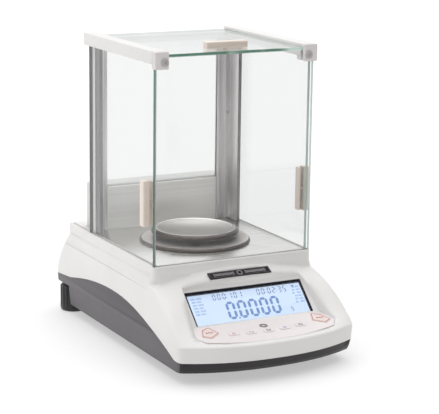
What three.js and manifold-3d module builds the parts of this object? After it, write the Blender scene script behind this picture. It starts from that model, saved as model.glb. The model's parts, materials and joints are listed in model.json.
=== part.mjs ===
// Analytical balance with a glass draft shield, millimetres, +Z up, front towards -Y.
// Separate pieces make it up: a two-part plastic housing, the weighing chamber with its sliding
// glass doors, the control panel, the weigh cell and the levelling feet.
import * as THREE from 'three';
import { mergeVertices } from 'three/addons/utils/BufferGeometryUtils.js';
import Module from 'manifold-3d';

const wasm = await Module();
wasm.setup();

// ---------------------------------------------------------------- driving dimensions

const GAP = 0.3; // clearance between neighbouring pieces
const WALL = 2.8; // wall thickness of the plastic shells

// Housing, seen in plan and from the side.
const HALF_WIDTH = 108.5; // widest half width, at WIDEST_Z
const WIDEST_Z = 48;
const BOTTOM_Z = 13;
const PLATFORM_Z = 109; // top of the platform that carries the chamber
const LEDGE_Z = 98; // top of the flared body, where the platform lip stands up
const PLATFORM_HALF_WIDTH = 99;
const PLATFORM_FRONT_Y = -36.5;
const PLATFORM_REAR_Y = 203;
const FRONT_CORNER_Y = -116;
const FRONT_CENTRE_Y = -142; // the front face is bowed forwards
const REAR_Y = 226;
const CREASE_Z = 43; // edge between the front face and the control panel
const FRONT_SEAM_Z = 25; // joint between upper and lower housing at the front

// Chamber.
const FLOOR_Z = 109.2;
const PAN_Y = 60.4;
const GLASS = 3;
const FRONT_GLASS = 4;
const FRONT_GLASS_Y = -34.2; // outer face
const FRONT_GLASS_HALF_WIDTH = 97;
const DOOR_X = 93; // inner face of a side door
const WALL_PLATE_Y = 147.4;
const RAIL_X0 = 83;
const RAIL_X1 = 99;
const RAIL_Z0 = 329.7;
const RAIL_Z1 = 343.5;
const TOP_GLASS_Z = 337;
const POST_REAR_Y = 152.5;
const HANDLE_LENGTH = 51;
const HANDLE_HEIGHT = 7.6;
const HANDLE_WIDTH = 10;

// Control panel: the display window and the keypad lie on two planes that meet at PANEL_FOLD.
const PANEL_FOLD = { y: -89, z: 53.5 };
const DISPLAY_SLOPE = THREE.MathUtils.degToRad(42.7);
const DISPLAY_LENGTH = 43.2; // up the slope
const DISPLAY_HALF_WIDTH = 72.3;
const KEYPAD_SLOPE = THREE.MathUtils.degToRad(11.3);

// Rear levelling feet.
const FOOT_X = 92.2;
const FOOT_Y = 202.8;
const FOOT_RADIUS = 16.3;
const FOOT_TOP_Z = 32.3;
const FOOT_BAY_TOP_Z = 36;
const FOOT_BAY_X = 73;
const FOOT_BAY_Y = 180.5;
const STUD_RADIUS = 4;

// ---------------------------------------------------------------- materials

const finishes = {
  whitePlastic: { color: 0xe9e8e4, roughness: 0.42, metalness: 0 },
  greyPlastic: { color: 0x5f5b5f, roughness: 0.5, metalness: 0 },
  blackPlastic: { color: 0x161517, roughness: 0.45, metalness: 0 },
  handlePlastic: { color: 0xc9bdae, roughness: 0.45, metalness: 0 },
  capPlastic: { color: 0xc9c6c2, roughness: 0.45, metalness: 0 },
  glass: { color: 0xdff0ea, roughness: 0.02, metalness: 0 },
  aluminium: { color: 0xb2afaf, roughness: 0.35, metalness: 1 },
  wallGrey: { color: 0xa9a8a4, roughness: 0.35, metalness: 1 },
  stainless: { color: 0xc6c2bd, roughness: 0.22, metalness: 1 },
  steel: { color: 0x9a9a9c, roughness: 0.35, metalness: 1 },
  castAluminium: { color: 0x9d9fa1, roughness: 0.6, metalness: 1 },
  rubber: { color: 0x222222, roughness: 0.85, metalness: 0 },
  display: { color: 0x9cc4f4, roughness: 0.2, metalness: 0 },
  membrane: { color: 0xe3dbd2, roughness: 0.5, metalness: 0 },
  keyPlastic: { color: 0xe6d3c6, roughness: 0.5, metalness: 0 },
  circuitBoard: { color: 0x1f5a3a, roughness: 0.5, metalness: 0 },
  copper: { color: 0xb86f3c, roughness: 0.4, metalness: 1 },
  magnet: { color: 0x4b4d52, roughness: 0.4, metalness: 1 },
  seal: { color: 0xe7e6e3, roughness: 0.6, metalness: 0 },
};

const balance = new THREE.Group();

function place(name, geometry, finish, parent = balance) {
  const mesh = new THREE.Mesh(geometry, new THREE.MeshStandardMaterial(finishes[finish]));
  mesh.name = name;
  parent.add(mesh);
  return mesh;
}

// ---------------------------------------------------------------- solid modelling helpers

function solidOf(geometry) {
  const bare = geometry.clone();
  bare.deleteAttribute('normal');
  bare.deleteAttribute('uv');
  const merged = mergeVertices(bare, 1e-4);
  const triangles = [];
  for (let i = 0; i < merged.index.count; i += 3) {
    const [a, b, c] = [0, 1, 2].map((k) => merged.index.getX(i + k));
    if (a !== b && b !== c && c !== a) {
      triangles.push(a, b, c);
    }
  }
  const vertProperties = new Float32Array(merged.attributes.position.array);
  const mesh = new wasm.Mesh({ numProp: 3, vertProperties, triVerts: new Uint32Array(triangles) });
  return new wasm.Manifold(mesh);
}

function geometryOf(solid) {
  const mesh = solid.getMesh();
  const geometry = new THREE.BufferGeometry();
  geometry.setAttribute('position', new THREE.BufferAttribute(mesh.vertProperties.slice(), 3));
  geometry.setIndex(new THREE.BufferAttribute(mesh.triVerts.slice(), 1));
  geometry.computeVertexNormals();
  return geometry;
}

function union(...geometries) {
  return geometries.map(solidOf).reduce((sum, solid) => sum.add(solid));
}

function cut(geometry, ...tools) {
  return geometryOf(tools.map(solidOf).reduce((rest, tool) => rest.subtract(tool), solidOf(geometry)));
}

function block(x0, x1, y0, y1, z0, z1) {
  const geometry = new THREE.BoxGeometry(x1 - x0, y1 - y0, z1 - z0);
  return geometry.translate((x0 + x1) / 2, (y0 + y1) / 2, (z0 + z1) / 2);
}

// A cylinder along Z, or along X or Y when an axis is given; the two ends are on that axis.
function rod(radius, from, to, centre, axis = 'z', segments = 24) {
  const geometry = new THREE.CylinderGeometry(radius, radius, to - from, segments);
  const middle = (from + to) / 2;
  if (axis === 'x') {
    return geometry.rotateZ(Math.PI / 2).translate(middle, centre[0], centre[1]);
  }
  if (axis === 'y') {
    return geometry.translate(centre[0], middle, centre[1]);
  }
  return geometry.rotateX(Math.PI / 2).translate(centre[0], centre[1], middle);
}

// A solid of revolution about Z from [radius, height] points.
function turned(profile, x, y, segments = 64) {
  const points = profile.map(([r, z]) => new THREE.Vector2(r, z));
  return new THREE.LatheGeometry(points, segments).rotateX(Math.PI / 2).translate(x, y, 0);
}

function polygon(points) {
  return new THREE.Shape(points.map(([x, y]) => new THREE.Vector2(x, y)));
}

function roundedRectangle(x0, x1, y0, y1, radius) {
  const shape = new THREE.Shape();
  shape.absarc(x1 - radius, y0 + radius, radius, -Math.PI / 2, 0, false);
  shape.absarc(x1 - radius, y1 - radius, radius, 0, Math.PI / 2, false);
  shape.absarc(x0 + radius, y1 - radius, radius, Math.PI / 2, Math.PI, false);
  shape.absarc(x0 + radius, y0 + radius, radius, Math.PI, 1.5 * Math.PI, false);
  return shape;
}

function extrudeUp(shape, z0, z1, curveSegments = 4) {
  const geometry = new THREE.ExtrudeGeometry(shape, { depth: z1 - z0, bevelEnabled: false, curveSegments });
  return geometry.translate(0, 0, z0);
}

// An extrusion with rounded top and bottom edges; the outline is the widest section.
function cushionUp(shape, z0, z1, round, curveSegments = 5) {
  const options = {
    depth: z1 - z0 - 2 * round,
    bevelThickness: round,
    bevelSize: round,
    bevelOffset: -round,
    bevelSegments: 2,
    curveSegments,
  };
  return new THREE.ExtrudeGeometry(shape, options).translate(0, 0, z0 + round);
}

// A shape drawn in (y, z), extruded from x0 to x1.
function extrudeAcross(shape, x0, x1) {
  const geometry = new THREE.ExtrudeGeometry(shape, { depth: x1 - x0, bevelEnabled: false });
  geometry.rotateY(Math.PI / 2).rotateX(Math.PI / 2);
  return geometry.translate(x0, 0, 0);
}

// ---------------------------------------------------------------- housing surface

function sideHalfWidth(z) {
  if (z > WIDEST_Z) {
    return HALF_WIDTH - 6.3 * ((z - WIDEST_Z) / 40.5) ** 1.6;
  }
  return HALF_WIDTH - 3 * ((WIDEST_Z - z) / (WIDEST_Z - BOTTOM_Z)) ** 1.5;
}

function rearEdgeY(z) {
  return REAR_Y - 20 * (Math.max(0, z - 40) / 58) ** 2;
}

// One closed outline of the housing, counterclockwise from above. The front edge is bowed in
// plan from the corners to the centre, and crowned in height from cornerZ to centreZ.
function housingOutline(section) {
  const { halfWidth, cornerY, centreY, rearY, cornerZ, centreZ, frontRadius, frontSteps } = section;
  const power = 2.3;
  const cornerSteps = 4;
  const rearRadius = 15;
  const points = [];
  const crown = (x) => cornerZ + (centreZ - cornerZ) * Math.max(0, 1 - (x / halfWidth) ** 2);
  const bowed = (x) => centreY + (cornerY - centreY) * Math.abs(x / halfWidth) ** power;
  const slope = Math.atan((power * (cornerY - centreY)) / halfWidth);
  const edgeX = halfWidth - frontRadius * (1 - Math.sin(slope));
  const corner = {
    x: edgeX - frontRadius * Math.sin(slope),
    y: bowed(edgeX) + frontRadius * Math.cos(slope),
  };
  const addArc = (x, y, radius, from, to) => {
    for (let i = 0; i <= cornerSteps; i += 1) {
      const angle = from + ((to - from) * i) / cornerSteps;
      const px = x + radius * Math.cos(angle);
      points.push(new THREE.Vector3(px, y + radius * Math.sin(angle), y < 0 ? crown(px) : cornerZ));
    }
  };
  for (let i = 1; i < frontSteps; i += 1) {
    const x = edgeX * ((2 * i) / frontSteps - 1);
    points.push(new THREE.Vector3(x, bowed(x), crown(x)));
  }
  addArc(corner.x, corner.y, frontRadius, slope - Math.PI / 2, 0);
  addArc(halfWidth - rearRadius, rearY - rearRadius, rearRadius, 0, Math.PI / 2);
  addArc(rearRadius - halfWidth, rearY - rearRadius, rearRadius, Math.PI / 2, Math.PI);
  addArc(-corner.x, corner.y, frontRadius, Math.PI, 1.5 * Math.PI - slope);
  return points;
}

// Skins a stack of outlines, bottom to top, and closes both ends.
function loft(outlines) {
  const count = outlines[0].length;
  const positions = outlines.flat().flatMap((p) => [p.x, p.y, p.z]);
  const indices = [];
  for (let level = 0; level < outlines.length - 1; level += 1) {
    for (let i = 0; i < count; i += 1) {
      const a = level * count + i;
      const b = level * count + ((i + 1) % count);
      indices.push(a, b, b + count, a, b + count, a + count);
    }
  }
  const addCap = (level, up) => {
    const centre = outlines[level].reduce((sum, p) => sum.add(p), new THREE.Vector3()).divideScalar(count);
    const hub = positions.length / 3;
    positions.push(centre.x, centre.y, centre.z);
    for (let i = 0; i < count; i += 1) {
      const a = level * count + i;
      const b = level * count + ((i + 1) % count);
      indices.push(hub, up ? a : b, up ? b : a);
    }
  };
  addCap(0, false);
  addCap(outlines.length - 1, true);
  const geometry = new THREE.BufferGeometry();
  geometry.setAttribute('position', new THREE.Float32BufferAttribute(positions, 3));
  geometry.setIndex(indices);
  return geometry;
}

// The panel runs from the front crease up to the platform: one line along its side edge and one
// along its centre, as [y, z] stations.
function panelLine(stations) {
  const points = stations.map(([y, z]) => new THREE.Vector3(0, y, z));
  return new THREE.CatmullRomCurve3(points, false, 'centripetal');
}

const panelEdge = panelLine([
  [FRONT_CORNER_Y, CREASE_Z],
  [-106, 51],
  [-94.5, 62],
  [-77, 73.5],
  [-56, 83],
  [PLATFORM_FRONT_Y - 0.8, 88.4],
]);
const panelCentre = panelLine([
  [FRONT_CENTRE_Y, CREASE_Z],
  [-118, 48.8],
  [-93.5, 56.5],
  [-76, 75],
  [-56, 92],
  [PLATFORM_FRONT_Y - 0.8, 101.4],
]);

// The whole body of the housing as a solid. The inset one, which hollows it out, is plainer.
function housingBody(inset) {
  const frontRadius = 9 - inset;
  const frontSteps = inset > 0 ? 8 : 20;
  const panelLevels = inset > 0 ? 5 : 11;
  const side = (z, cornerY, centreY, centreZ = z) => housingOutline({
    halfWidth: sideHalfWidth(z) - inset,
    cornerY: cornerY + inset,
    centreY: centreY + inset,
    rearY: rearEdgeY(z) - inset,
    cornerZ: z - inset,
    centreZ: centreZ - inset,
    frontRadius,
    frontSteps,
  });
  const outlines = [
    side(BOTTOM_Z, FRONT_CORNER_Y + 4, FRONT_CENTRE_Y + 7),
    side(BOTTOM_Z + 4, FRONT_CORNER_Y + 2, FRONT_CENTRE_Y + 4),
    side(FRONT_SEAM_Z, FRONT_CORNER_Y, FRONT_CENTRE_Y),
    side(CREASE_Z - 2, FRONT_CORNER_Y, FRONT_CENTRE_Y),
    side(CREASE_Z - 0.6, FRONT_CORNER_Y + 0.5, FRONT_CENTRE_Y + 0.6),
  ];
  for (let i = 0; i <= panelLevels; i += 1) {
    const edge = panelEdge.getPoint(i / panelLevels);
    const centre = panelCentre.getPoint(i / panelLevels);
    const ease = i === 0 ? 1.6 : 0;
    outlines.push(side(edge.z, edge.y + ease, centre.y + ease, centre.z));
  }
  const flare = [];
  const flareLevels = 4;
  const flareStart = 84;
  for (let i = 0; i <= flareLevels; i += 1) {
    const z = flareStart + ((LEDGE_Z - flareStart) * i) / flareLevels;
    flare.push(side(z, PLATFORM_FRONT_Y - 0.8, PLATFORM_FRONT_Y - 0.8));
  }
  const lip = roundedRectangle(
    inset - PLATFORM_HALF_WIDTH,
    PLATFORM_HALF_WIDTH - inset,
    PLATFORM_FRONT_Y + inset,
    PLATFORM_REAR_Y - inset,
    6 - inset,
  );
  return union(loft(outlines), loft(flare), cushionUp(lip, 85, PLATFORM_Z - inset, 1.2, 3));
}

// Height of the joint between the two housings: low across the front, arched along the sides.
function seamZ(y) {
  const crestY = 55;
  const kneeY = 172;
  const fall = y > crestY ? 0.00102 : 0.00148;
  const arch = 62.7 - fall * (Math.min(y, kneeY) - crestY) ** 2;
  const tail = y > kneeY ? ((y - kneeY) / (REAR_Y - kneeY)) * 4.7 : 0;
  return Math.max(FRONT_SEAM_Z, arch - tail);
}

function belowSeam(offset) {
  const steps = 28;
  const y0 = FRONT_CENTRE_Y - 20;
  const y1 = REAR_Y + 20;
  const points = [[y1, -5], [y0, -5]].reverse();
  for (let i = 0; i <= steps; i += 1) {
    const y = y1 + ((y0 - y1) * i) / steps;
    points.push([y, seamZ(y) + offset]);
  }
  return solidOf(extrudeAcross(polygon(points), -HALF_WIDTH - 20, HALF_WIDTH + 20));
}

// ---------------------------------------------------------------- control panel recess

// Plan outline of the sunk control area: straight across the top, flared sides, bowed front.
function controlArea(grow) {
  const top = -53.6 + grow;
  const topX = 73 + grow;
  const sideX = 85.5 + grow;
  const sideY = -112;
  const front = (x) => FRONT_CENTRE_Y + 6 - grow + 26 * Math.abs(x / HALF_WIDTH) ** 2.3;
  const steps = 14;
  const frontX = sideX - 7;
  const points = [[-topX, top], [-sideX, sideY]];
  for (let i = 0; i <= steps; i += 1) {
    const x = frontX * ((2 * i) / steps - 1);
    points.push([x, front(x)]);
  }
  points.push([sideX, sideY], [topX, top]);
  return polygon(points);
}

// Everything above the two panel planes, sunk by the given depths below them.
function abovePanel(displayDepth, keypadDepth, grow) {
  const fold = PANEL_FOLD;
  const upper = { y: 60, z: 60 * Math.tan(DISPLAY_SLOPE) };
  const lower = { y: -80, z: -80 * Math.tan(KEYPAD_SLOPE) };
  const displayDrop = displayDepth / Math.cos(DISPLAY_SLOPE);
  const keypadDrop = keypadDepth / Math.cos(KEYPAD_SLOPE);
  const meetY = (displayDrop - keypadDrop) / (Math.tan(DISPLAY_SLOPE) - Math.tan(KEYPAD_SLOPE));
  const region = polygon([
    [fold.y + upper.y, fold.z + upper.z - displayDrop],
    [fold.y + upper.y, 200],
    [fold.y + lower.y, 200],
    [fold.y + lower.y, fold.z + lower.z - keypadDrop],
    [fold.y + meetY, fold.z + meetY * Math.tan(KEYPAD_SLOPE) - keypadDrop],
  ]);
  const prism = solidOf(extrudeAcross(region, -HALF_WIDTH, HALF_WIDTH));
  return prism.intersect(solidOf(extrudeUp(controlArea(grow), 20, 190)));
}

function displayFrameGroup(slope) {
  const group = new THREE.Group();
  group.position.set(0, PANEL_FOLD.y, PANEL_FOLD.z);
  group.rotation.x = slope;
  balance.add(group);
  return group;
}

// A block in the frame of a panel plane: x across, s up the slope, n out of the surface.
function slopedBlock(slope, x0, x1, s0, s1, n0, n1) {
  const geometry = block(x0, x1, s0, s1, n0, n1);
  return geometry.rotateX(slope).translate(0, PANEL_FOLD.y, PANEL_FOLD.z);
}

// ---------------------------------------------------------------- upper housing

const LENS = 1.6;
const GASKET = 1;
const LENS_SEAT = LENS + GASKET + 2 * GAP;
const OVERLAY = 0.8;
const OVERLAY_SEAT = OVERLAY + GAP;
const KEY_TRAVEL = 0.4;
const TUB = 2.4; // thickness of the recess floor and walls
const BADGE = { halfWidth: 38, y0: -53, y1: -44, thickness: 1.2 };
const BADGE_SLOPE = Math.atan2(9.4, 18.7);
const BADGE_MIDDLE_Z = 95;

function badgeBlock(grow, n0, n1) {
  const half = (BADGE.y1 - BADGE.y0) / 2 / Math.cos(BADGE_SLOPE) + grow;
  const geometry = block(-BADGE.halfWidth - grow, BADGE.halfWidth + grow, -half, half, n0, n1);
  return geometry.rotateX(BADGE_SLOPE).translate(0, (BADGE.y0 + BADGE.y1) / 2, BADGE_MIDDLE_Z);
}

function upperHousing() {
  const tub = abovePanel(LENS_SEAT + TUB, OVERLAY_SEAT + TUB + 1.2, TUB);
  const cavity = housingBody(WALL).subtract(tub);
  let shell = housingBody(0).subtract(cavity);
  shell = shell.subtract(abovePanel(0, OVERLAY_SEAT, 0));
  shell = shell.subtract(belowSeam(GAP / 2));
  const lensX = DISPLAY_HALF_WIDTH + GAP;
  const cuts = [
    slopedBlock(DISPLAY_SLOPE, -lensX, lensX, 0.5 - GAP, DISPLAY_LENGTH + GAP, -LENS_SEAT, 3),
    slopedBlock(DISPLAY_SLOPE, -70.2, 70.2, 1.4, DISPLAY_LENGTH - 3.2, -12, 0), // opening
    badgeBlock(GAP, 0, 12), // badge seat
    rod(12, PLATFORM_Z - 12, PLATFORM_Z + 1, [0, PAN_Y], 'z', 32), // pan stem hole
    block(-92, 92, -29.6, WALL_PLATE_Y + GLASS + GAP, PLATFORM_Z - 1.1, PLATFORM_Z + 1), // floor seat
    block(-97.3, 97.3, -34.5, -29.9, PLATFORM_Z - 2, PLATFORM_Z + 1), // front glass seat
  ];
  for (const side of [-1, 1]) {
    const [x0, x1] = [91.9 * side, 97.1 * side].sort((a, b) => a - b);
    cuts.push(block(x0, x1, -30, PLATFORM_REAR_Y + 1, PLATFORM_Z - 1.9, PLATFORM_Z + 1)); // track seat
  }
  for (const tool of cuts) {
    shell = shell.subtract(solidOf(tool));
  }
  return geometryOf(shell);
}

place('upper_housing', upperHousing(), 'whitePlastic');
place('name_badge', badgeBlock(0, GAP, GAP + BADGE.thickness), 'blackPlastic');

// ---------------------------------------------------------------- lower housing

function lowerHousing() {
  const bays = [-1, 1].map((side) => {
    const [x0, x1] = [FOOT_BAY_X * side, 130 * side].sort((a, b) => a - b);
    const [t0, t1] = [(FOOT_BAY_X - TUB) * side, 130 * side].sort((a, b) => a - b);
    return {
      hollow: solidOf(block(x0, x1, FOOT_BAY_Y, 250, -5, FOOT_BAY_TOP_Z)),
      tub: solidOf(block(t0, t1, FOOT_BAY_Y - TUB, 250, -5, FOOT_BAY_TOP_Z + TUB)),
      boss: solidOf(rod(8, FOOT_BAY_TOP_Z, FOOT_BAY_TOP_Z + 18, [FOOT_X * side, FOOT_Y])),
      bore: solidOf(rod(STUD_RADIUS + GAP, 0, 80, [FOOT_X * side, FOOT_Y])),
    };
  });
  let cavity = housingBody(WALL).subtract(solidOf(block(-130, 130, -170, 250, 0, BOTTOM_Z + WALL)));
  for (const bay of bays) {
    cavity = cavity.subtract(bay.tub).subtract(bay.boss);
  }
  let tray = housingBody(0).intersect(belowSeam(-GAP / 2)).subtract(cavity);
  for (const bay of bays) {
    tray = tray.subtract(bay.hollow).subtract(bay.bore);
  }
  return geometryOf(tray);
}

place('lower_housing', lowerHousing(), 'greyPlastic');

// ---------------------------------------------------------------- chamber floor, walls and frame

const floorPlate = block(-91.6, 91.6, -29.3, WALL_PLATE_Y - GAP, PLATFORM_Z - 0.8, FLOOR_Z);
place('chamber_floor', cut(floorPlate, rod(12, 100, 115, [0, PAN_Y], 'z', 32)), 'wallGrey');

const wallPlate = block(-75.3, 75.3, WALL_PLATE_Y, WALL_PLATE_Y + GLASS, PLATFORM_Z - 0.8, 160.5);
place('rear_wall_plate', wallPlate, 'wallGrey');
const rearGlass = block(-75.3, 75.3, WALL_PLATE_Y, WALL_PLATE_Y + GLASS, 160.8, 333);
place('rear_glass', rearGlass, 'glass');

const CAP_SCREW = { x: 88, z: 332, radius: 2 };

const frontGlass = block(
  -FRONT_GLASS_HALF_WIDTH,
  FRONT_GLASS_HALF_WIDTH,
  FRONT_GLASS_Y,
  FRONT_GLASS_Y + FRONT_GLASS,
  PLATFORM_Z - 1.7,
  TOP_GLASS_Z - GAP,
);
const frontGlassHoles = [-1, 1].map((side) => rod(2.6, -40, -25, [CAP_SCREW.x * side, CAP_SCREW.z], 'y'));
place('front_glass', cut(frontGlass, ...frontGlassHoles), 'glass');

const rearBar = block(-RAIL_X0 + GAP, RAIL_X0 - GAP, 145.5, POST_REAR_Y, RAIL_Z0, TOP_GLASS_Z - 0.4);
const rearBarGroove = block(-76, 76, WALL_PLATE_Y - GAP, WALL_PLATE_Y + GLASS + GAP, 320, 333.3);
place('rear_roof_bar', cut(rearBar, rearBarGroove), 'whitePlastic');

// Mirrors a geometry to the other side of the balance, keeping its faces outward.
function onSide(side, geometry) {
  if (side > 0) {
    return geometry;
  }
  const mirrored = geometry.index ? geometry.toNonIndexed() : geometry.clone();
  mirrored.scale(-1, 1, 1);
  const position = mirrored.attributes.position;
  for (let i = 0; i < position.count; i += 3) {
    const b = new THREE.Vector3().fromBufferAttribute(position, i + 1);
    const c = new THREE.Vector3().fromBufferAttribute(position, i + 2);
    position.setXYZ(i + 1, c.x, c.y, c.z);
    position.setXYZ(i + 2, b.x, b.y, b.z);
  }
  mirrored.deleteAttribute('normal');
  mirrored.deleteAttribute('uv');
  return mirrored;
}

// ---------------------------------------------------------------- pieces found on both sides

const DOOR = { y0: -29.6, y1: 144, z0: PLATFORM_Z - 1.2, z1: 335.4 };
const HANDLE = { y0: -20.5, z0: 151 };

function roofRail() {
  const body = union(
    block(RAIL_X0, RAIL_X1, -29.9, POST_REAR_Y, RAIL_Z0, RAIL_Z1),
    block(84, 91.4, -29.9, -20, 325, RAIL_Z0 + 1), // block that takes the corner cap's screw
  );
  const tools = [
    block(RAIL_X0 - 1, RAIL_X0 + 2.6, -31, 160, TOP_GLASS_Z - GAP, TOP_GLASS_Z + GLASS + GAP), // top door
    block(DOOR_X - GAP, DOOR_X + GLASS + GAP, -31, 160, RAIL_Z0 - 6, DOOR.z1 + GAP), // side door
    rod(CAP_SCREW.radius + GAP, -31, -21, [CAP_SCREW.x, CAP_SCREW.z], 'y'),
  ];
  return geometryOf(tools.map(solidOf).reduce((rest, tool) => rest.subtract(tool), body));
}

function cornerCap() {
  const glassBack = FRONT_GLASS_Y - GAP;
  const topDoorBottom = TOP_GLASS_Z - GAP;
  const topDoorTop = TOP_GLASS_Z + GLASS + GAP;
  const outline = roundedRectangle(RAIL_X0, RAIL_X1, 324.6, RAIL_Z1, 1.6);
  const body = cushionUp(outline, 0, 9, 0.6, 3).rotateX(Math.PI / 2).translate(0, -30.2, 0);
  const tools = [
    block(RAIL_X0 - 1, 97.3, glassBack, -29, 320, TOP_GLASS_Z), // front glass corner
    block(RAIL_X0 - 1, RAIL_X0 + 2.6, glassBack, -29, topDoorBottom, topDoorTop), // top door
    rod(CAP_SCREW.radius + GAP, -45, -25, [CAP_SCREW.x, CAP_SCREW.z], 'y'),
  ];
  return cut(body, ...tools);
}

// Low-headed screw along Y: shank, slightly domed head and a cross recess in the head.
function screw(headRadius, shankRadius, headY, length, x, z) {
  const crownRadius = headRadius - 0.4;
  const head = [[0, 0], [headRadius, 0], [headRadius, 0.8], [crownRadius, 1.3], [0, 1.6]];
  const dome = turned(head, 0, 0, 20);
  const shank = rod(shankRadius, -length, 0.5, [0, 0], 'z', 12);
  const cross = [
    block(-headRadius * 0.5, headRadius * 0.5, -0.4, 0.4, 0.9, 4),
    block(-0.4, 0.4, -headRadius * 0.5, headRadius * 0.5, 0.9, 4),
  ];
  const solid = cross.reduce((rest, slot) => rest.subtract(solidOf(slot)), union(dome, shank));
  return geometryOf(solid).rotateX(Math.PI / 2).translate(x, headY, z);
}

// L-shaped extrusion: a leg across the back that holds the rear glass, a leg along the side.
function rearPost() {
  const body = union(
    block(72.6, 92.4, 145.5, POST_REAR_Y, FLOOR_Z + GAP, RAIL_Z0 - GAP),
    block(88, 92.4, 123, POST_REAR_Y, FLOOR_Z + GAP, RAIL_Z0 - GAP),
  );
  const tools = [
    block(70, 75.6, WALL_PLATE_Y - GAP, WALL_PLATE_Y + GLASS + GAP, 100, 340), // glass groove
    block(90.9, 94, 135, 142, 100, 340), // seal groove
    block(91.4, 94, 142, 160, 100, 340), // relief behind the seal
    block(76.5, 83, 145, 146.1, 100, 340), // flute in the front face
  ];
  return geometryOf(tools.map(solidOf).reduce((rest, tool) => rest.subtract(tool), body));
}

function doorTrack() {
  const body = block(92.2, 96.8, -29.6, PLATFORM_REAR_Y - 4.3, PLATFORM_Z - 1.6, FLOOR_Z);
  return cut(body, block(DOOR_X - GAP, DOOR_X + GLASS + GAP, -31, PLATFORM_REAR_Y, PLATFORM_Z - 1.5, 115));
}

function doorGlass() {
  const pane = block(DOOR_X, DOOR_X + GLASS, DOOR.y0, DOOR.y1, DOOR.z0, DOOR.z1);
  const middleY = HANDLE.y0 + HANDLE_WIDTH / 2;
  const middleZ = HANDLE.z0 + HANDLE_LENGTH / 2;
  return cut(pane, rod(3, DOOR_X - 1, DOOR_X + 4, [middleY, middleZ], 'x'));
}

// A handle moulding, built lying along X with its grip upwards and its pane between z -3.3 and
// -0.3: grip, through bolt and the backing strip on the other face of the pane.
function handleMoulding() {
  const half = HANDLE_LENGTH / 2;
  const stripHalf = half - 0.8;
  const stripTop = -GLASS - 2 * GAP;
  const grip = roundedRectangle(-half, half, -HANDLE_WIDTH / 2, HANDLE_WIDTH / 2, 1.5);
  const strip = roundedRectangle(-stripHalf, stripHalf, -4.2, 4.2, 1.2);
  return geometryOf(union(
    cushionUp(grip, 0, HANDLE_HEIGHT, 0.8, 3),
    rod(2.7, stripTop - 1, 2, [0, 0], 'z', 16),
    extrudeUp(strip, stripTop - 1.8, stripTop, 3),
  ));
}

for (const [side, label] of [[-1, 'left'], [1, 'right']]) {
  place(`${label}_roof_rail`, onSide(side, roofRail()), 'whitePlastic');
  place(`${label}_corner_cap`, onSide(side, cornerCap()), 'capPlastic');
  const capScrew = screw(4.4, CAP_SCREW.radius, -39.2 - GAP, 16, CAP_SCREW.x, CAP_SCREW.z);
  place(`${label}_cap_screw`, onSide(side, capScrew), 'steel');
  place(`${label}_rear_post`, onSide(side, rearPost()), 'aluminium');
  const seal = block(91.2, 92.7, 135 + GAP, 142 - GAP, FLOOR_Z + GAP, RAIL_Z0 - GAP);
  place(`${label}_post_seal`, onSide(side, seal), 'seal');
  place(`${label}_door_track`, onSide(side, doorTrack()), 'whitePlastic');
  place(`${label}_door_glass`, onSide(side, doorGlass()), 'glass');
  const handle = place(`${label}_door_handle`, handleMoulding(), 'handlePlastic');
  handle.rotation.set(0, (side * Math.PI) / 2, 0);
  handle.position.set(
    side * (DOOR_X + GLASS + GAP),
    HANDLE.y0 + HANDLE_WIDTH / 2,
    HANDLE.z0 + HANDLE_LENGTH / 2,
  );
}

const topPane = block(-85.3, 85.3, FRONT_GLASS_Y, POST_REAR_Y, TOP_GLASS_Z, TOP_GLASS_Z + GLASS);
const TOP_HANDLE_Y = -9;
place('top_door_glass', cut(topPane, rod(3, 330, 345, [0, TOP_HANDLE_Y])), 'glass');
const topHandle = place('top_door_handle', handleMoulding(), 'handlePlastic');
topHandle.position.set(0, TOP_HANDLE_Y, TOP_GLASS_Z + GLASS + GAP);

// ---------------------------------------------------------------- display and keypad

const displayGroup = displayFrameGroup(DISPLAY_SLOPE);
const windowTop = DISPLAY_LENGTH;
const lens = block(-DISPLAY_HALF_WIDTH, DISPLAY_HALF_WIDTH, 0.5, windowTop, -LENS, 0);
place('display_window', lens, 'glass', displayGroup);
const gasketTop = -LENS - GAP;
const gasketFrame = block(
  -DISPLAY_HALF_WIDTH,
  DISPLAY_HALF_WIDTH,
  0.5,
  windowTop,
  gasketTop - GASKET,
  gasketTop,
);
const gasketOpening = block(-70.4, 70.4, 1.3, windowTop - 3, -10, 1);
place('display_gasket', cut(gasketFrame, gasketOpening), 'blackPlastic', displayGroup);
const lcd = block(-69.9, 69.9, 1.8, windowTop - 3.6, -7.3, gasketTop);
place('lcd_module', lcd, 'display', displayGroup);
const displayBoard = block(-74, 74, -2, windowTop - 1, -9.2, -7.6);
place('display_board', displayBoard, 'circuitBoard', displayGroup);

const keypadGroup = displayFrameGroup(KEYPAD_SLOPE);
const KEY_PROUD = 0.6;
const KEY_REST = 0.4; // left under a key that is pressed all the way

// Outlines of the keys in the keypad plane: two five-sided keys at the ends, five rounded ones.
// The left end key sits a little nearer the middle than the right one.
const END_KEY = [[65, -4.5], [75, -9], [81, -23], [72, -29], [59, -20]];
const LEFT_KEY_INSET = 3.4;
const SMALL_KEYS = [
  ['calibrate_key', -41, -25],
  ['count_key', -20.5, -27],
  ['unit_key', 0, -28],
  ['mode_key', 20.5, -27],
  ['print_key', 41, -25],
];

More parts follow.
